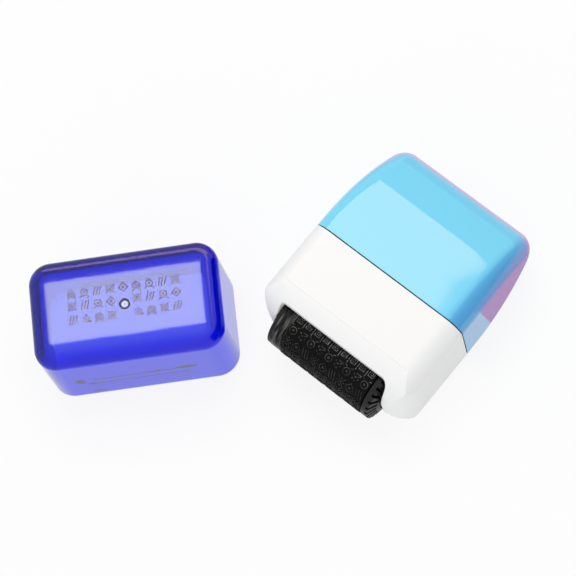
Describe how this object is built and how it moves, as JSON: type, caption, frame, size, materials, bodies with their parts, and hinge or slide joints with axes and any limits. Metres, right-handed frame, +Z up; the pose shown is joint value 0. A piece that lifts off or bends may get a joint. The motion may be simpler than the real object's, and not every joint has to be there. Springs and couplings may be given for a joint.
{
  "type": "roller stamp",
  "caption": "Palm-sized roller stamp for covering printed text, with a blue grip cover, a white housing round a black rubber roller, and its clear cap beside it.",
  "frame": {"origin": "centre of the flat back of the white skirt, on which the stamp lies", "axes": "+X along the roller towards its toothed end, +Y from the roller to the top of the grip cover, +Z up through the front face"},
  "size_m": [0.1127, 0.1203, 0.0315],
  "materials": {
    "white_plastic": "white, fine satin",
    "blue_gloss": "light sky blue, glossy",
    "black_plastic": "black, half gloss",
    "black_rubber": "black moulded rubber",
    "bush_plastic": "natural white",
    "ink_felt": "ink-soaked felt",
    "steel_pin": "ground steel",
    "clear_blue": "clear tinted blue-violet plastic"
  },
  "bodies": {
    "housing": {"lower_housing": "white_plastic", "roller_axle": "steel_pin", "axle_bush_left": "bush_plastic", "axle_bush_right": "bush_plastic", "ink_carrier": "black_plastic", "ink_axle": "steel_pin", "ink_axle_clips": "steel_pin"},
    "grip_cover": {"top_cover": "blue_gloss"},
    "stamp_roller": {"roller_core": "black_plastic", "stamp_sleeve": "black_rubber", "plain_flange": "black_plastic", "toothed_flange": "black_plastic"},
    "ink_roller": {"ink_spool": "black_plastic", "ink_sleeve": "ink_felt", "ink_disc_left": "black_plastic", "ink_disc_right": "black_plastic"},
    "cap_body": {"cap": "clear_blue"}
  },
  "joints": [
    {"name": "cover_pull", "type": "slide", "parent": "housing", "child": "grip_cover", "axis": [0, 1, 0], "range_m": [0, 0.045]},
    {"name": "stamp_roller_spin", "type": "hinge", "parent": "housing", "child": "stamp_roller", "pos_m": [0, -0.0156, 0.0155], "axis": [1, 0, 0], "continuous": true},
    {"name": "ink_roller_spin", "type": "hinge", "parent": "housing", "child": "ink_roller", "pos_m": [0, 0.00035, 0.0155], "axis": [1, 0, 0], "continuous": true},
    {"name": "cap_lift", "type": "slide", "parent": "housing", "child": "cap_body", "axis": [0, 0, 1], "range_m": [0, 0.04]}
  ],
  "couplings": [
    {"joint": "ink_roller_spin", "follows": "stamp_roller_spin", "ratio": -1.6333}
  ]
}
